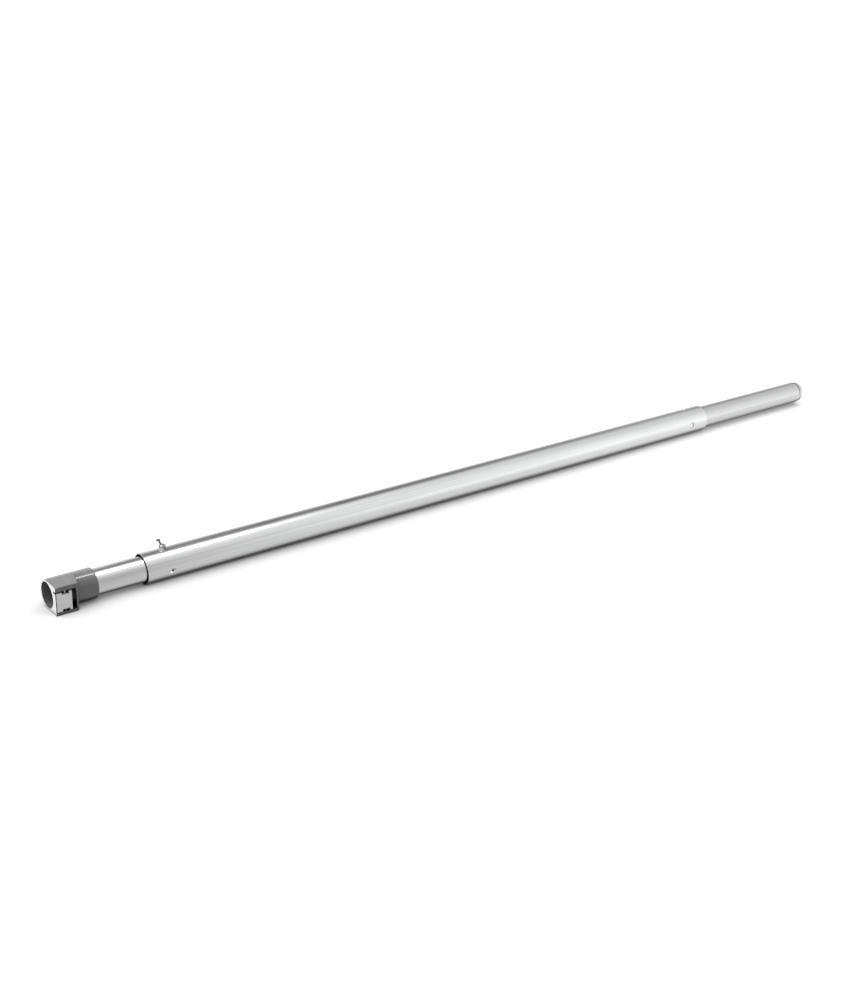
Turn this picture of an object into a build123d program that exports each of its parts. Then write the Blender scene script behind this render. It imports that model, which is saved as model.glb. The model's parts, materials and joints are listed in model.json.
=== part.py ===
from build123d import *
import math
import os

# Telescopic suction tube lying on a floor. X runs along the bore from the coupling's mouth,
# the latch faces -Y and Z is up. All sizes are in millimetres.

# Tubes
outer_od = 38.0
slim_od = 32.0
wall = 1.0
outer_len = 945.0
inner_len = 640.0
inner_shown = 63.5
spigot_proud = 222.5
spigot_seat = 48.0
spigot_skim = 0.3
spigot_step = 1.0
lead_len = 6.5
lead_step = 0.9
lead_step_drop = 0.5
lead_drop = 1.0
rim_break = 0.25
seam_turn = 3.75

# Clearances
run_gap = 0.08
pin_gap = 0.05
part_gap = 0.3

# Staking dents
stake_d = 8.0
stake_share = 0.65
stake_front = 32.6
stake_turn = 12.0
stake_rear = 32.0
pierce_d = 3.0

# Bushes and tail ring
guide_len = 30.0
spigot_lip = 2.5
spigot_recess = 0.8
tail_len = 12.0
bead_h = 0.8
bead_len = 3.2
flare_h = 1.2
flare_len = 2.2
seal_len = 3.0
seal_depth = 1.0

# Coupling
collar_wall = 2.7
collar_round = 0.9
coupling_len = 57.0
block_len = 28.0
shoulder_len = 6.0
shoulder_round = 0.9
block_front = 23.4
block_half = 18.0
block_edge = 0.5
socket_gap = 0.25
socket_len = 27.0
socket_wall = 2.15
stop_len = 2.5
bay_end = 26.0
bay_wall_top = 5.4
bay_wall_low = 3.8
end_wall = 0.6
end_slot_depth = 5.0

# Latch
tab_front = 1.1
tab_back = 20.5
tab_thick = 2.6
tab_sink = 0.2
tab_gap_top = 2.4
tab_gap_low = 0.4
tab_edge = 0.5
notch_len = 9.2
notch_top = 2.8
notch_low = 2.8
pin_d = 2.0
pin_x = 12.8
pin_depth = 3.2
pin_seat = 2.6
lug_r = 1.9
lug_len = 3.0
nose_front = 3.0
nose_len = 3.5
nose_half = 5.0
nose_under = 0.2
nose_slack = 1.2
rib_len = 2.0
rib_half = 4.0
rib_from_back = 1.0
spring_r = 1.5
spring_wire = 0.44
spring_turns = 3.5
spring_x = 6.0
spring_z = 7.8
spring_seat_y = 17.5

# Clamp screw
screw_back = 29.2
screw_d = 5.0
screw_clear = 5.6
nut_flats = 8.0
nut_h = 2.7
hub_d = 8.0
hub_h = 2.8
hub_lift = 0.25
wing_reach = 15.0
wing_rise = 2.2
wing_web = 2.0
wing_thick = 1.6
wing_tip_d = 2.5
wing_tip_len = 5.0
wing_turn = -9.0
pad_d = 4.8
pad_h = 1.25
pad_gap = 0.1
stud_d = 2.0
stud_h = 0.8

# Worked out
outer_ro = outer_od / 2
outer_ri = outer_ro - wall
slim_ro = slim_od / 2
slim_ri = slim_ro - wall
ring_room = outer_ri - slim_ro
collar_r = slim_ro + collar_wall
socket_r = slim_ro + socket_gap
bay_r = socket_r + socket_wall
bay_top = block_half - bay_wall_top
bay_low = -(block_half - bay_wall_low)
tab_top = bay_top - tab_gap_top
tab_low = bay_low + tab_gap_low
tab_y = -block_front + tab_sink
tab_inner_y = tab_y + tab_thick
pin_r = pin_d / 2
pin_y = -block_front + pin_depth
outer_x0 = coupling_len + inner_shown
outer_x1 = outer_x0 + outer_len
inner_x0 = socket_len + stop_len
inner_x1 = inner_x0 + inner_len
spigot_x0 = outer_x1 - spigot_seat
spigot_x1 = outer_x1 + spigot_proud
screw_x = outer_x0 + screw_back
front_ring_x = outer_x0 + stake_front
rear_ring_x = outer_x1 - stake_rear
tail_x1 = inner_x1 - flare_len - part_gap
tail_x0 = tail_x1 - tail_len
bead_x1 = tail_x0 - part_gap
bead_x0 = bead_x1 - bead_len
stake_depth = stake_share * ring_room
stake_r = (stake_d ** 2 / 4 + stake_depth ** 2) / (2 * stake_depth)
stake_centre = outer_ro - stake_depth + stake_r
stake_seat_d = 2 * math.sqrt((stake_r + wall) ** 2 - (stake_centre - outer_ri) ** 2) + 2 * pin_gap

# The block's lower front edge touches the floor that the outer tube lies on.
edge_reach = math.hypot(block_front - block_edge, block_half - block_edge)
edge_angle = math.atan2(block_half - block_edge, block_front - block_edge)
rest_roll = math.degrees(math.asin((outer_ro - block_edge) / edge_reach) - edge_angle)


def rod(radius, x0, x1):
    return extrude(Plane.YZ.offset(x0) * Circle(radius), amount=x1 - x0)


def pipe(r_out, r_in, x0, x1):
    return rod(r_out, x0, x1) - rod(r_in, x0, x1)


def brick(x0, x1, y0, y1, z0, z1):
    low = (Align.MIN, Align.MIN, Align.MIN)
    return Pos(x0, y0, z0) * Box(x1 - x0, y1 - y0, z1 - z0, align=low)


def post(radius, x, y, z0, z1):
    return Pos(x, y, z0) * Cylinder(radius, z1 - z0, align=(Align.CENTER, Align.CENTER, Align.MIN))


def turned(points):
    return revolve(Plane.XZ * make_face(Polyline(*points, close=True)), axis=Axis.X)


def about_bore(angle, item):
    return Rot(X=angle) * item


# Dents: angle 0 faces +Y, 90 is the top
def dent(x, angle, extra):
    return about_bore(angle, Pos(x, stake_centre, 0) * Sphere(stake_r + extra))


def drilled(x, angle, diameter):
    hole = Rot(X=-90) * post(diameter / 2, 0, 0, 0, outer_ro)
    return about_bore(angle, Pos(x, slim_ri, 0) * hole)


front_dents = [180 + stake_turn, 270 + stake_turn, stake_turn]
rear_dents = [0, 90, 180, 270]
dents = [(front_ring_x, a) for a in front_dents] + [(rear_ring_x, a) for a in rear_dents]


def make_outer_tube():
    tube = about_bore(seam_turn, pipe(outer_ro, outer_ri, outer_x0, outer_x1))
    rims = [e for e in tube.edges().filter_by(GeomType.CIRCLE) if e.radius > outer_ro - wall / 2]
    tube = chamfer(rims, rim_break)
    core = rod(outer_ri + wall / 2, outer_x0, outer_x1)
    for x, angle in dents:
        tube = tube + (dent(x, angle, wall) & core)
    for x, angle in dents:
        tube = tube - dent(x, angle, 0)
    for angle in front_dents:
        tube = tube - drilled(front_ring_x, angle, pierce_d)
    return tube - post(screw_clear / 2, screw_x, 0, 0, outer_od)


def make_guide_bush():
    bush = pipe(outer_ri, slim_ro + run_gap, screw_x - guide_len / 2, screw_x + guide_len / 2)
    for angle in front_dents:
        bush = bush - drilled(front_ring_x, angle, stake_seat_d)
    return bush - post(screw_clear / 2, screw_x, 0, 0, outer_od)


def make_spigot_bush():
    bush = pipe(outer_ri, slim_ri, spigot_x0 - spigot_lip, outer_x1 - spigot_recess)
    bush = bush - rod(slim_ro - spigot_skim, spigot_x0, outer_x1)
    for angle in rear_dents:
        bush = bush - drilled(rear_ring_x, angle, stake_seat_d)
    return bush


def make_spigot_tube():
    seat_r = slim_ro - spigot_skim
    step_x = outer_x1 + spigot_step
    lead_x = spigot_x1 - lead_len
    tube = turned([
        (spigot_x0, slim_ri), (spigot_x0, seat_r), (step_x, seat_r), (step_x, slim_ro),
        (lead_x, slim_ro), (lead_x + lead_step, slim_ro - lead_step_drop),
        (spigot_x1, slim_ro - lead_drop), (spigot_x1, slim_ri - lead_drop),
        (lead_x + lead_step, slim_ri - lead_step_drop), (lead_x, slim_ri)])
    tip = tube.edges().filter_by(GeomType.CIRCLE).group_by(Axis.X)[-1]
    return chamfer(tip, 0.3 * wall)


def make_inner_tube():
    skin = [
        (inner_x0, 0), (bead_x0, 0), (bead_x0 + bead_len / 4, bead_h),
        (bead_x1 - bead_len / 4, bead_h), (bead_x1, 0), (inner_x1 - flare_len, 0),
        (inner_x1 - flare_len / 2, flare_h), (inner_x1, flare_h)]
    outside = [(x, slim_ro + h) for x, h in skin]
    inside = [(x, slim_ri + h) for x, h in reversed(skin)]
    return turned(outside + inside)


def make_tail_ring():
    ring = pipe(outer_ri - run_gap, slim_ro + pin_gap, tail_x0, tail_x1)
    mid = (tail_x0 + tail_x1) / 2
    groove = pipe(outer_ri, outer_ri - run_gap - seal_depth, mid - seal_len / 2, mid + seal_len / 2)
    return ring - groove


def make_tail_seal():
    mid = (tail_x0 + tail_x1) / 2
    groove_r = outer_ri - run_gap - seal_depth
    seal = pipe(outer_ri - pin_gap, groove_r, mid - seal_len / 2, mid + seal_len / 2)
    lips = [e for e in seal.edges().filter_by(GeomType.CIRCLE) if e.radius > outer_ri - seal_depth / 2]
    return chamfer(lips, seal_depth / 3)


def block_section():
    reach = math.hypot(block_front, block_half)
    corner = math.atan2(block_half, -block_front)
    touch = corner - math.acos(collar_r / reach)
    y, z = collar_r * math.cos(touch), collar_r * math.sin(touch)
    flank = Polyline((y, z), (-block_front, block_half), (-block_front, -block_half), (y, -z), close=True)
    return Circle(collar_r) + make_face(flank)


def shoulder_cut():
    x0 = block_len
    x1 = block_len + shoulder_len
    away = -2 * block_front
    slope = Polyline((x0, -block_front), (x1, 0), (x1 + 1, 0), (x1 + 1, away), (x0, away), close=True)
    return extrude(make_face(slope), amount=2 * block_half, both=True)


def make_coupling_body():
    block = extrude(Plane.YZ * block_section(), amount=block_len + shoulder_len) - shoulder_cut()
    heel = block.edges().filter_by(Axis.Z).group_by(Axis.X)[1]
    block = fillet(heel, shoulder_round)
    corners = block.edges().filter_by(Axis.X).group_by(Axis.Y)[0]
    block = fillet(corners, block_edge)
    body = block + rod(collar_r, block_len, coupling_len)
    rim = body.edges().filter_by(GeomType.CIRCLE).group_by(Axis.X)[-1]
    body = chamfer(rim, collar_round)
    bay = brick(end_wall, bay_end, -2 * block_front, 0, bay_low, bay_top) - rod(bay_r, 0, block_len)
    body = body - bay
    body = body - brick(-1, bay_end, -2 * block_front, -block_front + end_slot_depth, tab_top, bay_top)
    body = body + latch_supports()
    body = body - rod(socket_r, 0, socket_len) - rod(slim_ri, 0, coupling_len)
    body = body - rod(slim_ro, inner_x0, coupling_len)
    body = body - nose_window()
    return body - post(pin_r, pin_x, pin_y, -2 * block_half, bay_top + pin_seat)


def latch_supports():
    rib_x1 = tab_back - rib_from_back
    rib = brick(rib_x1 - rib_len, rib_x1, tab_inner_y + pin_gap, -slim_ro, -rib_half, rib_half)
    seat = Rot(X=90) * post(spring_r + spring_wire, 0, 0, 0, spring_seat_y)
    return rib + Pos(spring_x, 0, spring_z) * seat


def nose_window():
    side = nose_half + 2 * part_gap
    back = nose_front + nose_len + nose_slack
    return brick(nose_front - 2 * part_gap, back, -block_front, 0, -side, side)


def make_latch_rocker():
    plate = brick(tab_front, tab_back, tab_y, tab_inner_y, tab_low, tab_top)
    plate = fillet(plate.faces().sort_by(Axis.Y)[0].edges(), tab_edge)
    x0, x1 = pin_x - notch_len / 2, pin_x + notch_len / 2
    notch_z1 = tab_top - notch_top
    notch_z0 = tab_low + notch_low
    plate = plate - brick(x0, x1, -2 * block_front, 0, notch_z1, block_half)
    plate = plate - brick(x0, x1, -2 * block_front, 0, -block_half, notch_z0)
    lugs = post(lug_r, pin_x, pin_y, notch_z1 - lug_len, notch_z1)
    lugs = lugs + post(lug_r, pin_x, pin_y, notch_z0, notch_z0 + lug_len)
    nose = brick(nose_front, nose_front + nose_len, tab_inner_y - tab_thick / 2, 0, -nose_half, nose_half)
    nose = nose - rod(socket_r + nose_under, 0, block_len)
    rocker = plate + lugs + nose
    return rocker - post(pin_r + pin_gap, pin_x, pin_y, -block_half, block_half)


def make_latch_pin():
    return post(pin_r, pin_x, pin_y, -block_half + 0.3 * bay_wall_low, bay_top + pin_seat)


def make_latch_spring():
    height = spring_seat_y + tab_inner_y
    climb = -height - spring_wire - 0.04
    start = -spring_seat_y - spring_wire / 2 - 0.02
    path = Helix(climb / spring_turns, climb, spring_r)
    section = Plane(origin=path @ 0, z_dir=path % 0) * Rectangle(spring_wire, spring_wire)
    wire = sweep(section, path=path, is_frenet=True)
    return Pos(spring_x, start, spring_z) * (Rot(X=90) * wire)


def make_clamp_nut():
    plan = RegularPolygon(nut_flats / 2, 6, major_radius=False)
    nut = extrude(Pos(0, 0, outer_ro - nut_h) * plan, amount=2 * nut_h)
    nut = Pos(screw_x, 0, 0) * nut
    nut = nut - rod(outer_ro, outer_x0, outer_x1)
    return nut - post(screw_d / 2, screw_x, 0, 0, outer_od)


def make_wing():
    z0 = hub_h / 2 - wing_web / 2
    reach = wing_reach - wing_tip_d / 4
    mid_z, end_z = z0 + wing_rise / 5, z0 + wing_rise
    low = ThreePointArc((0, z0), (reach / 2, mid_z), (reach, end_z))
    high = ThreePointArc((reach, end_z + wing_web / 2), (reach / 2, mid_z + wing_web), (0, z0 + wing_web))
    end = Line(low @ 1, high @ 0)
    root = Line(high @ 1, low @ 0)
    web = extrude(Plane.YZ * make_face([low, end, high, root]), amount=wing_thick / 2, both=True)
    tip = Rot(Y=90) * Cylinder(wing_tip_d / 2, wing_tip_len)
    tip = chamfer(tip.edges().filter_by(GeomType.CIRCLE), 0.2 * wing_tip_d)
    return web + Pos(0, wing_reach, z0 + wing_rise + wing_web / 4) * tip


def make_wing_screw():
    hub_z = outer_ro + nut_h + hub_lift
    shank_z = slim_ro + pad_gap + pad_h + pin_gap
    hub = post(hub_d / 2, 0, 0, 0, hub_h)
    hub = chamfer(hub.edges().group_by(Axis.Z)[-1], 0.25 * hub_h)
    wing = make_wing()
    head = Rot(Z=wing_turn) * (hub + wing + Rot(Z=180) * wing)
    screw = Pos(screw_x, 0, hub_z) * head
    screw = screw + post(screw_d / 2 - pin_gap, screw_x, 0, shank_z, hub_z)
    return screw + post(stud_d / 2, screw_x, 0, shank_z - stud_h, shank_z)


def make_thrust_pad():
    z0 = slim_ro + pad_gap
    pad = post(pad_d / 2, screw_x, 0, z0, z0 + pad_h)
    stud_z = z0 + pad_h - stud_h
    return pad - post(stud_d / 2 + pin_gap, screw_x, 0, stud_z, outer_od)


level = {
    "outer_tube": make_outer_tube,
    "guide_bush": make_guide_bush,
    "spigot_bush": make_spigot_bush,
    "spigot_tube": make_spigot_tube,
    "inner_tube": make_inner_tube,
    "tail_ring": make_tail_ring,
    "tail_seal": make_tail_seal,
    "clamp_nut": make_clamp_nut,
    "wing_screw": make_wing_screw,
    "thrust_pad": make_thrust_pad,
}

rolled = {
    "coupling_body": make_coupling_body,
    "latch_rocker": make_latch_rocker,
    "latch_pin": make_latch_pin,
    "latch_spring": make_latch_spring,
}

os.makedirs("parts", exist_ok=True)
for node, make in level.items():
    export_step(make(), f"parts/{node}.step")
for node, make in rolled.items():
    export_step(about_bore(rest_roll, make()), f"parts/{node}.step")
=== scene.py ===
import json
import math

import bmesh
import bpy
from mathutils import Matrix, Vector


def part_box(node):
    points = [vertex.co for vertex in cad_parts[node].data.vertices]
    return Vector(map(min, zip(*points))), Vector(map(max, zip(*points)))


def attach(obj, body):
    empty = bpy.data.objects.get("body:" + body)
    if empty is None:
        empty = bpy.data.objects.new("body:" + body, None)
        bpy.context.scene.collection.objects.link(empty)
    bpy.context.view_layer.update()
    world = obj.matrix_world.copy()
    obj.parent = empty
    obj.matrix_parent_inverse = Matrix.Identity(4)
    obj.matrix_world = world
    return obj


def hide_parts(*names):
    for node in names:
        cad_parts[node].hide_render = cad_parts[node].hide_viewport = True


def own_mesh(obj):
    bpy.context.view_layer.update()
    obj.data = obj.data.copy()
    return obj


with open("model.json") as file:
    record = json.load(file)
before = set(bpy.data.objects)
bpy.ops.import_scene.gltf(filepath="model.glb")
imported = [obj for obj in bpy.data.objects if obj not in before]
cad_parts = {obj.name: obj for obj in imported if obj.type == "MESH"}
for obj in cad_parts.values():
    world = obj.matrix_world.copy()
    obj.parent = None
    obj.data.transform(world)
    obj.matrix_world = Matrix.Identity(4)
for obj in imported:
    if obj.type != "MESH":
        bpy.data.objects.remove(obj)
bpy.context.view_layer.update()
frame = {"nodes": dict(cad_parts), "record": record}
print("frame loaded:", len(frame["nodes"]), "nodes")


# small helpers for node trees
def addNode(tree, kind, **settings):
    node = tree.nodes.new(kind)
    for name, value in settings.items():
        setattr(node, name, value)
    return node


def wire(tree, fromSocket, toSocket):
    tree.links.new(fromSocket, toSocket)


def newMaterial(name):
    mat = bpy.data.materials.new(name)
    mat.use_nodes = True
    tree = mat.node_tree
    tree.nodes.clear()
    out = addNode(tree, "ShaderNodeOutputMaterial")
    skin = addNode(tree, "ShaderNodeBsdfPrincipled")
    wire(tree, skin.outputs["BSDF"], out.inputs["Surface"])
    return mat, tree, skin


def stretchedNoise(tree, scale, noiseScale, detail=3.0, rough=0.5):
    coord = addNode(tree, "ShaderNodeTexCoord")
    mapping = addNode(tree, "ShaderNodeMapping")
    mapping.inputs["Scale"].default_value = scale
    noise = addNode(tree, "ShaderNodeTexNoise")
    noise.inputs["Scale"].default_value = noiseScale
    noise.inputs["Detail"].default_value = detail
    noise.inputs["Roughness"].default_value = rough
    wire(tree, coord.outputs["Object"], mapping.inputs["Vector"])
    wire(tree, mapping.outputs["Vector"], noise.inputs["Vector"])
    return noise.outputs["Fac"]


def spread(tree, value, low, high, fromLow=0.3, fromHigh=0.7):
    ranged = addNode(tree, "ShaderNodeMapRange")
    ranged.inputs["From Min"].default_value = fromLow
    ranged.inputs["From Max"].default_value = fromHigh
    ranged.inputs["To Min"].default_value = low
    ranged.inputs["To Max"].default_value = high
    wire(tree, value, ranged.inputs["Value"])
    return ranged.outputs["Result"]


def mixShades(tree, fac, dark, light):
    ramp = addNode(tree, "ShaderNodeValToRGB")
    ramp.color_ramp.elements[0].position = 0.3
    ramp.color_ramp.elements[1].position = 0.7
    ramp.color_ramp.elements[0].color = (*dark, 1)
    ramp.color_ramp.elements[1].color = (*light, 1)
    wire(tree, fac, ramp.inputs["Fac"])
    return ramp.outputs["Color"]


def addBump(tree, height, skin, distance, strength, edge=0.0):
    bump = addNode(tree, "ShaderNodeBump")
    bump.inputs["Strength"].default_value = strength
    bump.inputs["Distance"].default_value = distance
    wire(tree, height, bump.inputs["Height"])
    if edge:  # softens moulded edges
        bevel = addNode(tree, "ShaderNodeBevel", samples=6)
        bevel.inputs["Radius"].default_value = edge
        wire(tree, bevel.outputs["Normal"], bump.inputs["Normal"])
    wire(tree, bump.outputs["Normal"], skin.inputs["Normal"])


# drawn aluminium: long die lines, faint handling marks; painted highlights and painted shade rings at the
# dents
tubeFinish = {
    "dark": (0.575, 0.578, 0.582), "light": (0.64, 0.642, 0.645),
    "smooth": 0.2, "satin": 0.27,
    # each dent row gives a painted highlight and a painted shade ring
    "dentRows": [
        {"x": 0.1531, "turns": (12, 192, 282), "shine": 0.15, "bright": (0.0028, 0.0042), "ring": 0.0},
        {"x": 1.0335, "turns": (0, 90, 180, 270), "shine": 0.55, "bright": (0.0025, 0.0035), "ring": 0.3},
    ],
    "dentRadius": 0.019, "ringAt": 0.0042, "ringHalf": 0.0007,
    "hollows": {"reach": 0.003, "least": 0.02, "span": (0.35, 0.75)},
}
spigotFinish = {  # the far tube is duller
    "dark": (0.5, 0.502, 0.505), "light": (0.56, 0.562, 0.565),
    "smooth": 0.24, "satin": 0.33,
    # painted shade in the crease and at the rim, painted highlight on the lip
    "crease": 1.2812, "creaseHalf": 0.0016, "creaseDepth": 0.6, "creaseLow": 0.12, "creaseTurn": 0.002,
    "rim": 1.2869, "rimRun": 0.0008, "rimDepth": 0.6, "lipShine": 0.25, "lipRun": 0.003,
}
drawing = {"lines": (2.0, 700.0, 700.0), "marks": (9.0, 40.0, 40.0), "depth": 0.00002, "bump": 0.12}
# painted light and shade: a painted shade tone, a painted highlight tone for the dents, and a painted
# highlight tone for the spigot's lip
paintedTones = {"paintedShade": (0.05, 0.05, 0.05), "paintedHighlight": (0.95, 0.95, 0.95), "lip": (0.85, 0.85, 0.85)}


def paintedHollowShade(tree, colour, hollows):  # painted shade: closed-in corners and surfaces near other parts get darker
    hollow = addNode(tree, "ShaderNodeAmbientOcclusion", samples=8)
    hollow.inputs["Distance"].default_value = hollows["reach"]
    shade = addNode(tree, "ShaderNodeMix", data_type="RGBA", blend_type="MULTIPLY")
    shade.inputs["Factor"].default_value = 1.0
    wire(tree, colour, shade.inputs["A"])
    wire(tree, spread(tree, hollow.outputs["AO"], hollows["least"], 1.0, *hollows["span"]), shade.inputs["B"])
    return shade.outputs["Result"]


def shadeOver(tree, colour, fac, over):
    mix = addNode(tree, "ShaderNodeMix", data_type="RGBA")
    wire(tree, fac, mix.inputs["Factor"])
    wire(tree, colour, mix.inputs["A"])
    mix.inputs["B"].default_value = (*over, 1)
    return mix.outputs["Result"]


def insideBand(tree, value, middle, half, depth):  # depth within half of the middle, else zero
    band = addNode(tree, "ShaderNodeMath", operation="COMPARE")
    band.inputs[1].default_value = middle
    band.inputs[2].default_value = half
    wire(tree, value, band.inputs[0])
    scaled = addNode(tree, "ShaderNodeMath", operation="MULTIPLY")
    scaled.inputs[1].default_value = depth
    wire(tree, band.outputs[0], scaled.inputs[0])
    return scaled.outputs[0]


def dentPlace(row, turn, radius):
    at = math.radians(turn)
    return (row["x"], radius * math.cos(at), radius * math.sin(at))


def dentHighlightShade(tree, colour, finish, row):  # painted highlight in each dent and a painted shade ring round it, standing in for the dent's reflection
    coord = addNode(tree, "ShaderNodeTexCoord")
    nearest = None
    for turn in row["turns"]:
        away = addNode(tree, "ShaderNodeVectorMath", operation="DISTANCE")
        away.inputs[1].default_value = dentPlace(row, turn, finish["dentRadius"])
        wire(tree, coord.outputs["Object"], away.inputs[0])
        if nearest is None:
            nearest = away.outputs["Value"]
            continue
        least = addNode(tree, "ShaderNodeMath", operation="MINIMUM")
        wire(tree, nearest, least.inputs[0])
        wire(tree, away.outputs["Value"], least.inputs[1])
        nearest = least.outputs[0]
    ring = insideBand(tree, nearest, finish["ringAt"], finish["ringHalf"], row["ring"])
    colour = shadeOver(tree, colour, ring, paintedTones["paintedShade"])
    paintedShine = spread(tree, nearest, row["shine"], 0.0, *row["bright"])
    return shadeOver(tree, colour, paintedShine, paintedTones["paintedHighlight"])


def tipHighlightShade(tree, colour, finish):  # painted highlight on the lip, painted shade at the rim and in the crease, the crease darker above
    coord = addNode(tree, "ShaderNodeTexCoord")
    split = addNode(tree, "ShaderNodeSeparateXYZ")
    wire(tree, coord.outputs["Object"], split.inputs["Vector"])
    along = split.outputs["X"]
    crease = finish["crease"]
    lip = spread(tree, along, 0.0, finish["lipShine"], crease, crease + finish["lipRun"])
    colour = shadeOver(tree, colour, lip, paintedTones["lip"])
    rim = spread(tree, along, 0.0, finish["rimDepth"], finish["rim"] - finish["rimRun"], finish["rim"])
    colour = shadeOver(tree, colour, rim, paintedTones["paintedShade"])
    turn = finish["creaseTurn"]
    high = spread(tree, split.outputs["Z"], finish["creaseLow"], finish["creaseDepth"], -turn, turn)
    both = addNode(tree, "ShaderNodeMath", operation="MULTIPLY")
    wire(tree, insideBand(tree, along, crease, finish["creaseHalf"], 1.0), both.inputs[0])
    wire(tree, high, both.inputs[1])
    return shadeOver(tree, colour, both.outputs[0], paintedTones["paintedShade"])


def makeTubeMetal(name, finish):
    mat, tree, skin = newMaterial(name)
    lines = stretchedNoise(tree, drawing["lines"], 1.0, 4.0)
    marks = stretchedNoise(tree, drawing["marks"], 1.0, 4.0, 0.6)
    colour = mixShades(tree, lines, finish["dark"], finish["light"])
    if "dentRows" in finish:
        for row in finish["dentRows"]:
            colour = dentHighlightShade(tree, colour, finish, row)
        # painted shade in closed-in corners of the tube
        colour = paintedHollowShade(tree, colour, finish["hollows"])
    if "crease" in finish:
        colour = tipHighlightShade(tree, colour, finish)
    wire(tree, colour, skin.inputs["Base Color"])
    wire(tree, spread(tree, marks, finish["smooth"], finish["satin"]), skin.inputs["Roughness"])
    skin.inputs["Metallic"].default_value = 1.0
    addBump(tree, lines, skin, drawing["depth"], drawing["bump"])
    return mat


# moulded plastics
moulding = {
    "cloud": (90, 90, 90), "swing": 0.15, "depth": 0.00003, "bump": 0.25,
    "least": 0.03, "span": (0.3, 0.8),
}


def makePlastic(name, dark, light, rough, grain, edge, recess=None):
    mat, tree, skin = newMaterial(name)
    cloud = stretchedNoise(tree, moulding["cloud"], 1.0, 3.0)
    spark = stretchedNoise(tree, (grain, grain, grain), 1.0, 2.0)
    colour = mixShades(tree, cloud, dark, light)
    # painted shade in recesses of the moulding
    if recess:
        colour = paintedHollowShade(tree, colour, {"reach": recess, **moulding})
    wire(tree, colour, skin.inputs["Base Color"])
    swing = rough * moulding["swing"]
    wire(tree, spread(tree, cloud, rough - swing, rough + swing), skin.inputs["Roughness"])
    addBump(tree, spark, skin, moulding["depth"], moulding["bump"], edge)
    return mat


# turned and plated metal
turning = {"swing": 0.2, "depth": 0.00002, "bump": 0.15}


def makeMetal(name, dark, light, rough, scale, highlightPatch=None):
    mat, tree, skin = newMaterial(name)
    marks = stretchedNoise(tree, scale, 1.0, 3.0)
    colour = mixShades(tree, marks, dark, light)
    if highlightPatch:  # painted highlight: lighter round an upright axis set towards the right wing
        coord = addNode(tree, "ShaderNodeTexCoord")
        flat = addNode(tree, "ShaderNodeMapping")
        flat.inputs["Scale"].default_value = (1, 1, 0)
        away = addNode(tree, "ShaderNodeVectorMath", operation="DISTANCE")
        away.inputs[1].default_value = highlightPatch["axis"]
        wire(tree, coord.outputs["Object"], flat.inputs["Vector"])
        wire(tree, flat.outputs["Vector"], away.inputs[0])
        paintedShine = spread(tree, away.outputs["Value"], highlightPatch["most"], 0.0, *highlightPatch["edge"])
        colour = shadeOver(tree, colour, paintedShine, highlightPatch["shade"])
    wire(tree, colour, skin.inputs["Base Color"])
    swing = rough * turning["swing"]
    wire(tree, spread(tree, marks, rough - swing, rough + swing), skin.inputs["Roughness"])
    skin.inputs["Metallic"].default_value = 1.0
    addBump(tree, marks, skin, turning["depth"], turning["bump"])
    return mat


finishes = {
    "tube_metal": makeTubeMetal("drawnAluminium", tubeFinish),
    "spigot_metal": makeTubeMetal("dullAluminium", spigotFinish),
    "bush_plastic": makePlastic("blackPlastic", (0.01, 0.01, 0.01), (0.014, 0.014, 0.014), 0.5, 1800, 0.0002),
    "seal_rubber": makePlastic(
        "blackRubber", (0.012, 0.012, 0.012), (0.018, 0.018, 0.018), 0.75, 900, 0.0002),
    "screw_steel": makeMetal("zincSteel", (0.42, 0.42, 0.43), (0.55, 0.55, 0.56), 0.3, (900, 900, 900)),
    # black steel with a painted highlight over the hub and the right wing
    "screw_dark": makeMetal(
        "blackSteel", (0.1, 0.1, 0.1), (0.15, 0.15, 0.15), 0.28, (700, 700, 700),
        {"axis": (0.1555, 0, 0), "most": 0.7, "edge": (0.0095, 0.0115), "shade": (0.5, 0.5, 0.51)}),
    "pad_brass": makeMetal("padBrass", (0.62, 0.45, 0.17), (0.72, 0.54, 0.24), 0.35, (700, 700, 700)),
    "body_plastic": makePlastic(
        "couplingPlastic", (0.07, 0.07, 0.071), (0.08, 0.08, 0.081), 0.16, 2600, 0.0007, recess=0.015),
    "latch_plastic": makePlastic(
        "latchPlastic", (0.385, 0.385, 0.385), (0.415, 0.415, 0.415), 0.4, 2600, 0.0004, recess=0.003),
}
for part in frame["record"]["subparts"]:
    node = frame["nodes"][part["node"]]
    node.data.materials.clear()
    node.data.materials.append(finishes[part["material_slot"]])
frame["nodes"]["wing_screw"].visible_glossy = False  # keeps its dark image off the tube
print("finishes made:", len(finishes))

# latch coil of round wire
coilSpec = {"turns": 3.5, "wire": 0.00044, "facets": 12, "stepsPerTurn": 40, "keep": 0.5}


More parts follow.
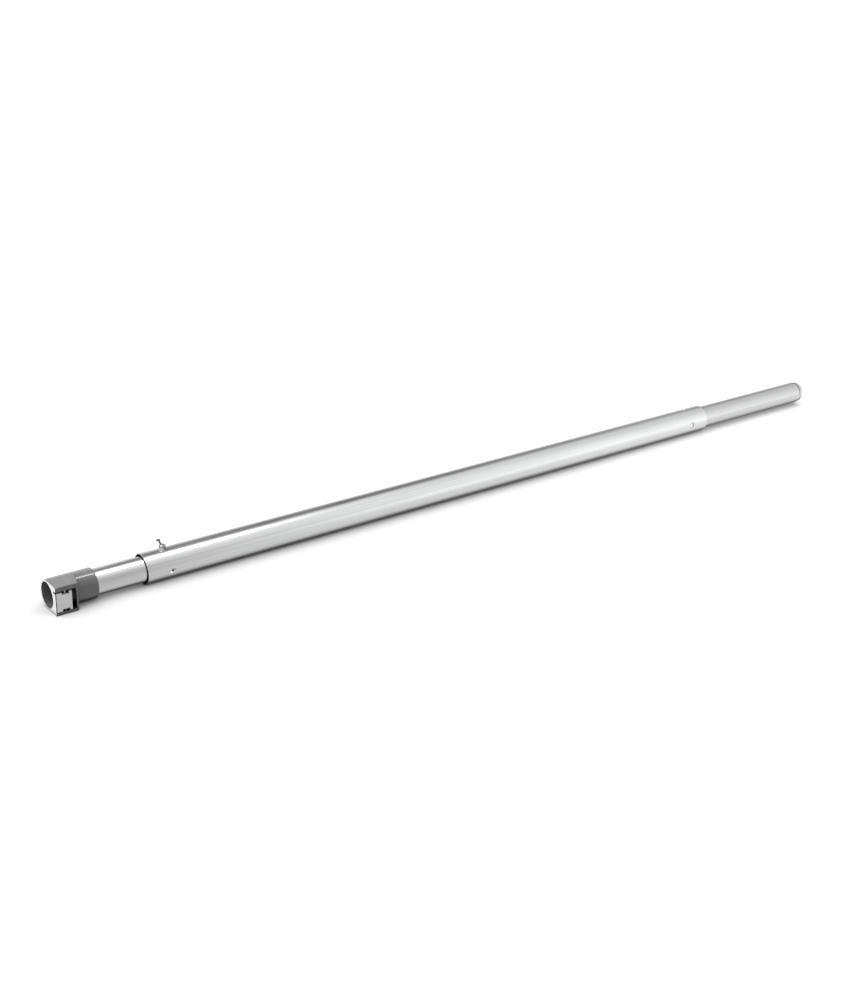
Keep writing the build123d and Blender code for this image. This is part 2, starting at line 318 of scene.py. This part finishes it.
def coilTree():
    tree = bpy.data.node_groups.new("coilTree", "GeometryNodeTree")
    for name in ("Turns", "Radius", "Height", "Wire"):
        tree.interface.new_socket(name, in_out="INPUT", socket_type="NodeSocketFloat")
    tree.interface.new_socket("Material", in_out="INPUT", socket_type="NodeSocketMaterial")
    tree.interface.new_socket("Coil", in_out="OUTPUT", socket_type="NodeSocketGeometry")
    given = addNode(tree, "NodeGroupInput")
    spiral = addNode(tree, "GeometryNodeCurveSpiral")
    spiral.inputs["Resolution"].default_value = coilSpec["stepsPerTurn"]
    wire(tree, given.outputs["Turns"], spiral.inputs["Rotations"])
    wire(tree, given.outputs["Radius"], spiral.inputs["Start Radius"])
    wire(tree, given.outputs["Radius"], spiral.inputs["End Radius"])
    wire(tree, given.outputs["Height"], spiral.inputs["Height"])
    ring = addNode(tree, "GeometryNodeCurvePrimitiveCircle")
    ring.inputs["Resolution"].default_value = coilSpec["facets"]
    half = addNode(tree, "ShaderNodeMath", operation="MULTIPLY")
    half.inputs[1].default_value = 0.5
    wire(tree, given.outputs["Wire"], half.inputs[0])
    wire(tree, half.outputs[0], ring.inputs["Radius"])
    sweep = addNode(tree, "GeometryNodeCurveToMesh")
    sweep.inputs["Fill Caps"].default_value = True
    wire(tree, spiral.outputs["Curve"], sweep.inputs["Curve"])
    wire(tree, ring.outputs["Curve"], sweep.inputs["Profile Curve"])
    real = addNode(tree, "GeometryNodeRealizeInstances")
    wire(tree, sweep.outputs["Mesh"], real.inputs["Geometry"])
    paint = addNode(tree, "GeometryNodeSetMaterial")
    wire(tree, real.outputs["Geometry"], paint.inputs["Geometry"])
    wire(tree, given.outputs["Material"], paint.inputs["Material"])
    result = addNode(tree, "NodeGroupOutput")
    wire(tree, paint.outputs["Geometry"], result.inputs["Coil"])
    return tree


def growMesh(name, tree, sizes):
    maker = bpy.data.objects.new(name + "Maker", bpy.data.meshes.new(name + "Maker"))
    bpy.context.scene.collection.objects.link(maker)
    grow = maker.modifiers.new("grow", "NODES")
    grow.node_group = tree
    for socket in tree.interface.items_tree:
        if socket.in_out == "INPUT":
            grow[socket.identifier] = sizes[socket.name]
    bpy.context.view_layer.update()
    mesh = bpy.data.meshes.new_from_object(maker.evaluated_get(bpy.context.evaluated_depsgraph_get()))
    maker.modifiers.clear()
    bpy.data.objects.remove(maker)
    piece = bpy.data.objects.new(name, mesh)
    bpy.context.scene.collection.objects.link(piece)
    return piece


def makeCoil():
    low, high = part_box("latch_spring")
    press = next(j for j in frame["record"]["behaviour"]["joints"] if j["name"] == "latch_press")
    hinge = Vector(press["axis"])
    outward = hinge.cross(Vector((1, 0, 0)))  # from the seat to the tab
    radius = (high.x - low.x - coilSpec["wire"]) / 2
    along = Vector((0, abs(outward.y), -abs(outward.z)))  # takes the box's depth along the coil
    height = abs((high - low).dot(along)) - coilSpec["wire"]
    sizes = {"Turns": coilSpec["turns"], "Radius": radius, "Height": height, "Wire": coilSpec["wire"],
             "Material": finishes["screw_steel"]}
    coil = growMesh("latchCoil", coilTree(), sizes)
    middle = (low + high) / 2
    seat = middle - outward * height / 2
    turn = outward.to_track_quat("Z", "X").to_matrix().to_4x4()
    coil.data.transform(Matrix.Translation(seat) @ turn)
    for face in coil.data.polygons:
        face.use_smooth = True
    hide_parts("latch_spring")
    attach(coil, "inner")
    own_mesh(coil)
    print("latch coil made:", len(coil.data.polygons), "faces, height", round(height * 1000, 2), "mm")


makeCoil()


# plain pale floor under the outer tube, with a painted contact shadow near the parts
floorSpec = {
    "size": 60.0, "shade": 0.82, "cloud": 0.01,
    "hollows": {"reach": 0.1, "least": 0.75, "span": (0.2, 0.92)},
}


def makeFloor():
    mesh = bpy.data.meshes.new("floor")
    half = floorSpec["size"] / 2
    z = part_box("outer_tube")[0].z
    shape = bmesh.new()
    square = ((-half, -half), (half, -half), (half, half), (-half, half))
    shape.faces.new([shape.verts.new((x, y, z)) for x, y in square])
    shape.to_mesh(mesh)
    shape.free()
    floor = bpy.data.objects.new("floor", mesh)
    bpy.context.scene.collection.objects.link(floor)
    mat, tree, skin = newMaterial("paleFloor")
    cloud = stretchedNoise(tree, (3, 3, 3), 1.0)
    shade = floorSpec["shade"]
    colour = mixShades(tree, cloud, (shade,) * 3, (shade + floorSpec["cloud"],) * 3)
    # painted contact shadow: the floor darkens close to the parts
    wire(tree, paintedHollowShade(tree, colour, floorSpec["hollows"]), skin.inputs["Base Color"])
    skin.inputs["Roughness"].default_value = 0.9
    skin.inputs["Specular IOR Level"].default_value = 0.0
    mesh.materials.append(mat)
    floor.visible_glossy = False  # uncoated metal shows the studio, not the floor


makeFloor()


# pale wall round the floor, seen directly but not in the metal
wallSpec = {"radius": 29.0, "height": 60.0, "sides": 64}


def makeWall():
    mesh = bpy.data.meshes.new("wall")
    shape = bmesh.new()
    bmesh.ops.create_cone(
        shape, cap_ends=False, segments=wallSpec["sides"], depth=wallSpec["height"],
        radius1=wallSpec["radius"], radius2=wallSpec["radius"])
    shape.to_mesh(mesh)
    shape.free()
    wall = bpy.data.objects.new("wall", mesh)
    bpy.context.scene.collection.objects.link(wall)
    mat, _, skin = newMaterial("paleWall")
    skin.inputs["Base Color"].default_value = (0, 0, 0, 1)
    skin.inputs["Specular IOR Level"].default_value = 0.0
    skin.inputs["Emission Color"].default_value = (1, 1, 1, 1)
    skin.inputs["Emission Strength"].default_value = 1.0
    mat.cycles.emission_sampling = "NONE"
    mesh.materials.append(mat)
    wall.visible_diffuse = False
    wall.visible_glossy = False
    wall.visible_transmission = False
    wall.visible_shadow = False


makeWall()

# studio light by turn about the tube's axis: 0 behind, 90 above, 180 in front, 270 below
studio = {
    "brightest": 2.0,
    "walls": [  # how far a direction points along the tube, then its light levels
        (0.0, [
            (0, .6), (45, 1.1), (90, 2.0), (130, 1.4), (170, .9), (240, .6), (270, .1), (300, .04),
            (345, .05)]),
        (0.345, [
            (0, 1.1), (26, 1.1), (47, .3), (64, .3), (80, 1.1), (106, 1.15), (119, .9), (131, .55),
            (142, .28), (172, .26), (190, .5), (214, .7), (243, .8), (260, .75), (282, .12), (335, .05),
            (355, .8)]),
        (0.39, [
            (0, 1.0), (26, .55), (47, .12), (64, .4), (80, 1.15), (106, 1.25), (119, 1.1), (131, .75),
            (142, .36), (172, .36), (190, .62), (214, .8), (243, .85), (260, .7), (282, .12), (335, .06),
            (355, .8)]),
        (0.43, [
            (0, .8), (25, .38), (47, .1), (64, .42), (80, 1.15), (106, 1.25), (119, 1.3), (142, 1.22),
            (154, 1.1), (165, .9), (190, .95), (214, 1.0), (243, .98), (260, .7), (282, .1), (335, .06),
            (355, .7)]),
        (0.54, [
            (0, .9), (25, .45), (47, .02), (65, .42), (80, 1.08), (131, 1.18), (154, 1.27), (177, 1.55),
            (201, 1.13), (214, 1.02), (243, .95), (260, .75), (282, .14), (335, .12), (355, .9)]),
        (0.66, [
            (0, 1.0), (25, .5), (47, .42), (65, .83), (94, .89), (119, 1.16), (142, 1.45), (165, 1.57),
            (177, 1.75), (201, 1.4), (214, 1.29), (243, 1.2), (260, .95), (282, .25), (335, .2), (355, .9)]),
        (0.86, [
            (0, 1.5), (25, .85), (47, .75), (65, 1.05), (94, 1.05), (119, 1.16), (142, 1.4), (165, 1.5),
            (177, 1.6), (201, 1.38), (214, 1.27), (243, 1.2), (260, .9), (282, .25), (335, .2), (355, 1.4)]),
        (0.92, [(0, .3), (150, .2), (190, 1.2), (225, 2.0), (262, 2.0), (290, .2), (335, .2)]),
    ],
}


def lightRamp(tree, fac, stops):
    ramp = addNode(tree, "ShaderNodeValToRGB")
    ramp.color_ramp.interpolation = "EASE"
    spots = ramp.color_ramp.elements
    while len(spots) > 1:
        spots.remove(spots[-1])
    for k, (turn, level) in enumerate(stops):
        spot = spots[0] if k == 0 else spots.new(turn / 360)
        spot.position = turn / 360
        share = level / studio["brightest"]
        spot.color = (share, share, share, 1)
    wire(tree, fac, ramp.inputs["Fac"])
    return ramp.outputs["Color"]


def makeStudio():
    world = bpy.data.worlds.new("studio")
    bpy.context.scene.world = world
    world.use_nodes = True
    tree = world.node_tree
    tree.nodes.clear()
    coord = addNode(tree, "ShaderNodeTexCoord")
    split = addNode(tree, "ShaderNodeSeparateXYZ")
    wire(tree, coord.outputs["Generated"], split.inputs["Vector"])
    turn = addNode(tree, "ShaderNodeMath", operation="ARCTAN2")
    wire(tree, split.outputs["Z"], turn.inputs[0])
    wire(tree, split.outputs["Y"], turn.inputs[1])
    whole = addNode(tree, "ShaderNodeMath", operation="DIVIDE")
    whole.inputs[1].default_value = 2 * math.pi
    wire(tree, turn.outputs[0], whole.inputs[0])
    wrap = addNode(tree, "ShaderNodeMath", operation="WRAP")
    wrap.inputs[1].default_value = 0.0
    wrap.inputs[2].default_value = 1.0
    wire(tree, whole.outputs[0], wrap.inputs[0])
    walls = studio["walls"]
    light = lightRamp(tree, wrap.outputs[0], walls[0][1])
    for (fromX, _), (toX, stops) in zip(walls, walls[1:]):
        both = addNode(tree, "ShaderNodeMix", data_type="RGBA")
        wire(tree, spread(tree, split.outputs["X"], 0, 1, fromX, toX), both.inputs["Factor"])
        wire(tree, light, both.inputs["A"])
        wire(tree, lightRamp(tree, wrap.outputs[0], stops), both.inputs["B"])
        light = both.outputs["Result"]
    back = addNode(tree, "ShaderNodeBackground")
    back.inputs["Strength"].default_value = studio["brightest"]
    wire(tree, light, back.inputs["Color"])
    out = addNode(tree, "ShaderNodeOutputWorld")
    wire(tree, back.outputs["Background"], out.inputs["Surface"])


makeStudio()


# strip over the near end, card and low sun for the coupling, card and even top light for the floor
lights = {
    "topStrip": {
        "kind": "AREA", "at": (0.1, 0, 1.2), "aim": (0.1, 0, 0), "size": (0.2, 1.4), "power": 12.0,
        "lit": list(frame["nodes"]), "mirrored": True},
    "crownCard": {
        "kind": "AREA", "at": (0.3, 0.6, 0.7), "aim": (0.03, 0, 0), "size": (0.3, 0.3), "power": 14.0,
        "lit": ["coupling_body"]},
    "endSun": {
        "kind": "SUN", "at": (-0.68, 0.06, 0.04), "aim": (0, 0, 0), "angle": 8.0, "power": 41.0,
        "lit": ["coupling_body"]},
    "farCard": {
        "kind": "AREA", "at": (1.22, -0.35, 0.14), "aim": (1.2, -0.01, -0.019), "size": (0.2, 0.1),
        "power": 0.8, "lit": ["floor"]},
    "topFill": {"kind": "SUN", "at": (0.6, 0, 3), "aim": (0.6, 0, 0), "angle": 150.0, "power": 0.5},
}


def makeLight(name, spec):
    lamp = bpy.data.lights.new(name, spec["kind"])
    lamp.energy = spec["power"]
    if spec["kind"] == "AREA":
        lamp.shape = "RECTANGLE"
        lamp.size, lamp.size_y = spec["size"]
    else:
        lamp.angle = math.radians(spec["angle"])
    holder = bpy.data.objects.new(name, lamp)
    holder.location = spec["at"]
    aim = (Vector(spec["aim"]) - Vector(spec["at"])).normalized()
    side = Vector((1, 0, 0)) if abs(aim.x) < 0.9 else Vector((0, 1, 0))
    flat = (side - aim * side.dot(aim)).normalized()  # the lamp's long side
    holder.rotation_euler = Matrix((-flat.cross(aim), flat, -aim)).transposed().to_euler()
    holder.visible_glossy = spec.get("mirrored", False)
    holder.visible_camera = False
    bpy.context.scene.collection.objects.link(holder)
    if "lit" in spec:
        lit = bpy.data.collections.new(name + "Lit")
        for node in spec["lit"]:
            lit.objects.link(frame["nodes"].get(node) or bpy.data.objects[node])
        holder.light_linking.receiver_collection = lit


for name, spec in lights.items():
    makeLight(name, spec)
print("floor and lights made")

# camera where the photographer stood
view = {
    "place": (-0.61691, -1.55341, 0.76813),
    "ahead": (0.55315, 0.7449, -0.37302),
    "up": (0.22092, 0.30056, 0.92782),
    "lens": 66.19,
}


def makeCamera():
    eye = bpy.data.cameras.new("photoCamera")
    eye.lens = view["lens"]
    eye.sensor_fit = "HORIZONTAL"
    eye.sensor_width = 36.0
    eye.clip_end = 200.0
    holder = bpy.data.objects.new("photoCamera", eye)
    back = -Vector(view["ahead"]).normalized()
    side = Vector(view["up"]).cross(back).normalized()
    top = back.cross(side)
    turn = Matrix((side, top, back)).transposed().to_4x4()
    holder.matrix_world = Matrix.Translation(view["place"]) @ turn
    bpy.context.scene.collection.objects.link(holder)
    bpy.context.scene.camera = holder


makeCamera()
bpy.context.scene.view_settings.view_transform = "Standard"
print("camera set")
